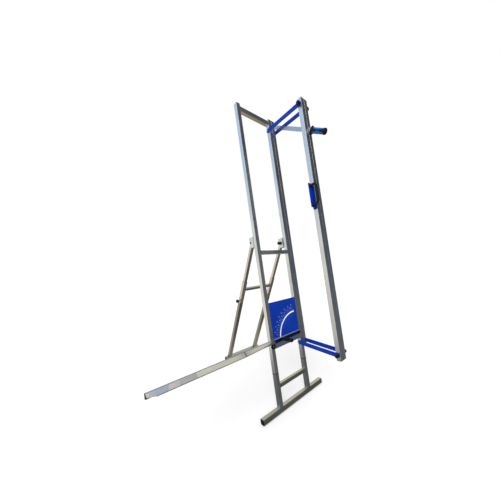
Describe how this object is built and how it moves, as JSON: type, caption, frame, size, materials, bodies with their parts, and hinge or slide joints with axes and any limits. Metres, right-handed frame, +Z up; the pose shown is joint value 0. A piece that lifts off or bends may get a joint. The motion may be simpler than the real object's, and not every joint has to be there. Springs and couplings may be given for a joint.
{
  "type": "insulation board cutting stand",
  "caption": "Leaning aluminium cutting stand for insulation boards with a hand saw guided in a swinging slotted bow, a tilting board rail on a protractor plate and a folding rear prop.",
  "frame": {"origin": "on the floor, below the middle of the object's bounding box", "axes": "+X to the right along the board rail as the user faces the stand, +Y away from the user, +Z up"},
  "size_m": [1.184, 1.0326, 2.1537],
  "materials": {
    "aluminium_satin": "satin extruded aluminium",
    "aluminium_dark": "dark grey anodised aluminium",
    "blue_coat": "smooth blue powder coat",
    "steel_bright": "bright zinc-plated steel",
    "blade_steel": "ground saw steel",
    "black_plastic": "matt black moulded plastic",
    "blue_plastic": "moulded blue plastic",
    "black_rubber": "black rubber",
    "ruler_tape": "printed measuring tape"
  },
  "bodies": {
    "frame": {"left_upright": "aluminium_satin", "right_upright": "aluminium_satin", "guide_cheek": "aluminium_satin", "top_crossbar": "aluminium_satin", "middle_rung": "aluminium_satin", "lower_beam": "aluminium_satin", "upright_end_plates": "aluminium_satin", "cheek_spacer": "aluminium_satin", "protractor_plate": "blue_coat", "plate_clips": "aluminium_satin", "plate_screws": "steel_bright", "rail_bumper": "black_rubber", "bumper_screw": "steel_bright", "rail_pivot_bolt": "steel_bright", "prop_brackets": "aluminium_satin", "bow_pivot_bolts": "steel_bright"},
    "stand": {"left_stand_leg": "aluminium_satin", "right_stand_leg": "aluminium_satin", "stand_rung": "aluminium_satin", "front_foot_bar": "aluminium_satin", "front_foot_plugs": "black_plastic"},
    "prop": {"left_prop_leg": "aluminium_satin", "right_prop_leg": "aluminium_satin", "left_prop_sleeve": "aluminium_satin", "right_prop_sleeve": "aluminium_satin", "prop_rung_tube": "aluminium_satin"},
    "prop_feet": {"left_foot_leg": "aluminium_satin", "right_foot_leg": "aluminium_satin", "rear_foot_bar": "aluminium_satin", "rear_foot_plugs": "black_plastic"},
    "left_hinge_clamp": {"left_hinge_knob": "black_plastic"},
    "right_hinge_clamp": {"right_hinge_knob": "black_plastic"},
    "left_prop_clamp": {"left_prop_knob": "black_plastic"},
    "right_prop_clamp": {"right_prop_knob": "black_plastic"},
    "rail": {"rail_bar": "aluminium_dark", "inner_ledge": "aluminium_satin", "outer_ledge": "aluminium_satin", "ledge_joint_strip": "aluminium_dark", "ruler_strip": "ruler_tape", "rail_end_cap": "black_plastic", "clamp_slider": "steel_bright"},
    "rail_clamp": {"clamp_grip": "black_plastic", "clamp_stud": "steel_bright"},
    "top_arms": {"upper_left_arm": "blue_coat", "upper_right_arm": "blue_coat"},
    "bottom_arms": {"lower_left_arm": "blue_coat", "lower_right_arm": "blue_coat"},
    "front_beam": {"front_left_guide": "aluminium_satin", "front_right_guide": "aluminium_satin", "front_end_plates": "aluminium_satin", "handle_bracket": "blue_coat", "pull_handle": "black_plastic", "guide_screws": "steel_bright"},
    "upper_left_clamp": {"upper_left_knob": "black_plastic"},
    "upper_right_clamp": {"upper_right_knob": "black_plastic"},
    "lower_left_clamp": {"lower_left_knob": "black_plastic"},
    "lower_right_clamp": {"lower_right_knob": "black_plastic"},
    "saw": {"saw_blade": "blade_steel", "saw_handle": "blue_plastic", "saw_grips": "black_rubber"}
  },
  "joints": [
    {"name": "stand_pull_off", "type": "slide", "parent": "frame", "child": "stand", "axis": [0, -0.299, -0.9542], "range_m": [0, 0.12]},
    {"name": "prop_fold", "type": "hinge", "parent": "frame", "child": "prop", "pos_m": [0.289, 0.15172, 1.14285], "axis": [1, 0, 0], "range_deg": [-34.5, 0]},
    {"name": "prop_extend", "type": "slide", "parent": "prop", "child": "prop_feet", "axis": [0, 0.294, -0.9558], "range_m": [0, 0.1]},
    {"name": "left_hinge_knob_turn", "type": "hinge", "parent": "frame", "child": "left_hinge_clamp", "pos_m": [0.145, 0.15172, 1.14285], "axis": [1, 0, 0], "continuous": true},
    {"name": "right_hinge_knob_turn", "type": "hinge", "parent": "frame", "child": "right_hinge_clamp", "pos_m": [0.427, 0.15172, 1.14285], "axis": [-1, 0, 0], "continuous": true},
    {"name": "left_prop_knob_turn", "type": "hinge", "parent": "prop", "child": "left_prop_clamp", "pos_m": [0.122, 0.30227, 0.65349], "axis": [-1, 0, 0], "continuous": true},
    {"name": "right_prop_knob_turn", "type": "hinge", "parent": "prop", "child": "right_prop_clamp", "pos_m": [0.404, 0.30227, 0.65349], "axis": [-1, 0, 0], "continuous": true},
    {"name": "rail_tilt", "type": "hinge", "parent": "frame", "child": "rail", "pos_m": [0.388, -0.13471, 0.47966], "axis": [0, 0.9542, -0.299], "range_deg": [0, 88]},
    {"name": "rail_clamp_turn", "type": "hinge", "parent": "rail", "child": "rail_clamp", "pos_m": [0.225, -0.14139, 0.48175], "axis": [0, 0.9542, -0.299], "continuous": true},
    {"name": "bow_swing", "type": "hinge", "parent": "frame", "child": "top_arms", "pos_m": [0.4495, 0.38074, 2.04254], "axis": [1, 0, 0], "range_deg": [-6, 66]},
    {"name": "lower_arm_swing", "type": "hinge", "parent": "frame", "child": "bottom_arms", "pos_m": [0.4495, -0.13914, 0.38359], "axis": [1, 0, 0], "range_deg": [-6, 66]},
    {"name": "beam_pivot", "type": "hinge", "parent": "top_arms", "child": "front_beam", "pos_m": [0.4495, 0.03226, 2.11027], "axis": [1, 0, 0], "range_deg": [-66, 6]},
    {"name": "saw_slide", "type": "slide", "parent": "front_beam", "child": "saw", "axis": [0, 0.299, 0.9542], "range_m": [-1.25, 0]},
    {"name": "upper_left_knob_turn", "type": "hinge", "parent": "front_beam", "child": "upper_left_clamp", "pos_m": [0.418, 0.03226, 2.11027], "axis": [-1, 0, 0], "continuous": true},
    {"name": "upper_right_knob_turn", "type": "hinge", "parent": "front_beam", "child": "upper_right_clamp", "pos_m": [0.481, 0.03226, 2.11027], "axis": [1, 0, 0], "continuous": true},
    {"name": "lower_left_knob_turn", "type": "hinge", "parent": "front_beam", "child": "lower_left_clamp", "pos_m": [0.418, -0.48762, 0.45133], "axis": [-1, 0, 0], "continuous": true},
    {"name": "lower_right_knob_turn", "type": "hinge", "parent": "front_beam", "child": "lower_right_clamp", "pos_m": [0.481, -0.48762, 0.45133], "axis": [1, 0, 0], "continuous": true}
  ],
  "couplings": [
    {"joint": "lower_arm_swing", "follows": "bow_swing", "ratio": 1},
    {"joint": "beam_pivot", "follows": "bow_swing", "ratio": -1}
  ]
}
